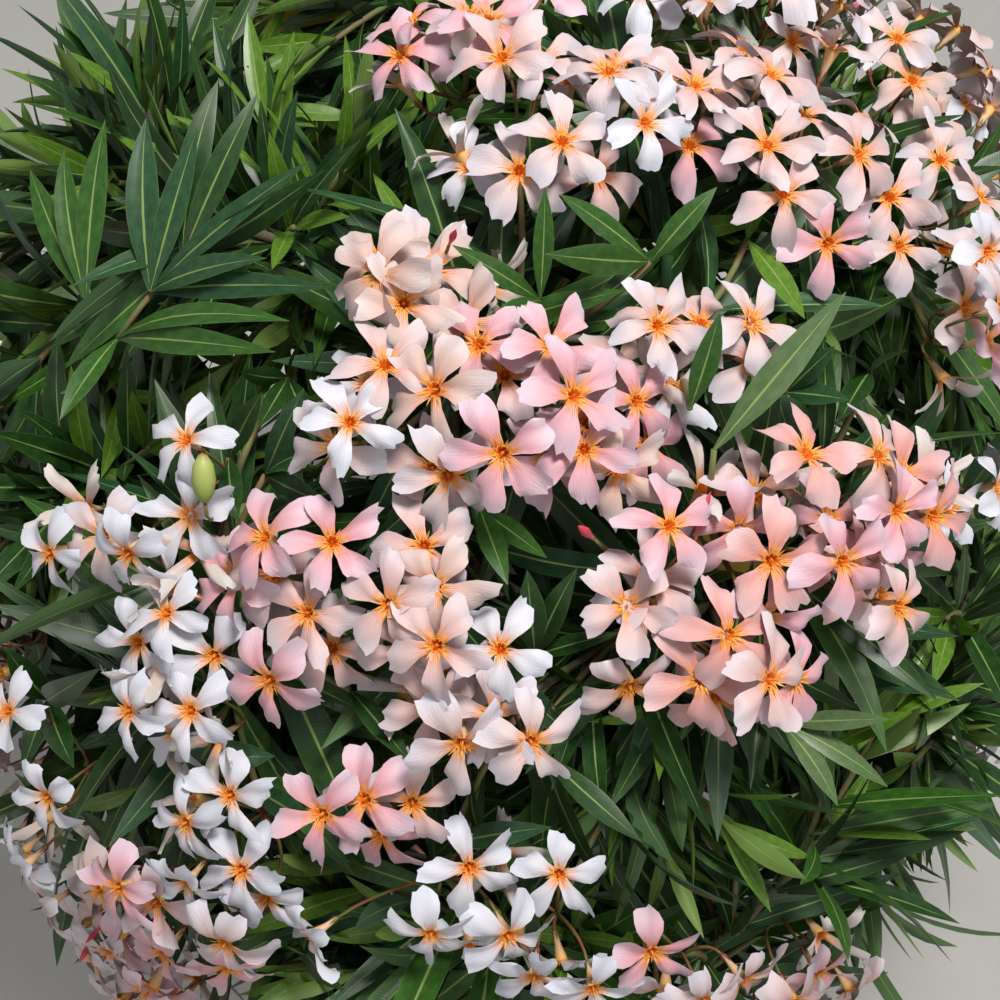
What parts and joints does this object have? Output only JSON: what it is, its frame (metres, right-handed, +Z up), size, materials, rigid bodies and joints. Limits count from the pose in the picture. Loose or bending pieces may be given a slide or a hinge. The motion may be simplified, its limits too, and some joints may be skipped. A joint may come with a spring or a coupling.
{
  "type": "potted oleander",
  "caption": "Flowering evergreen shrub in a round clay pot: short forked trunk, rounded crown of narrow leaves and pink-white flower heads.",
  "frame": {"origin": "middle of the pot's flat underside, which stands on the ground", "axes": "+Z up, -Y towards the side that the picture looks at from above, +X to the right in it"},
  "size_m": [0.9122, 0.8652, 1.0179],
  "materials": {
    "clay": "matt fired clay",
    "soil": "dark crumbly potting mix",
    "bark": "smooth grey-brown bark",
    "foliage": "leathery dark green leaves with pink-white flowers"
  },
  "bodies": {
    "root": {"pot": "clay", "soil": "soil", "trunk": "bark", "bough_middle": "bark", "bough_outer_1": "bark", "bough_outer_2": "bark", "bough_outer_3": "bark", "bough_outer_4": "bark", "bough_outer_5": "bark", "foliage_top_1": "foliage", "foliage_top_2": "foliage", "foliage_top_3": "foliage", "foliage_upper_1": "foliage", "foliage_upper_2": "foliage", "foliage_upper_3": "foliage", "foliage_upper_4": "foliage", "foliage_upper_5": "foliage", "foliage_lower_1": "foliage", "foliage_lower_2": "foliage", "foliage_lower_3": "foliage", "foliage_lower_4": "foliage", "foliage_lower_5": "foliage", "foliage_lower_6": "foliage", "foliage_lower_7": "foliage", "foliage_lower_8": "foliage", "foliage_lower_9": "foliage", "foliage_lower_10": "foliage"}
  },
  "joints": []
}
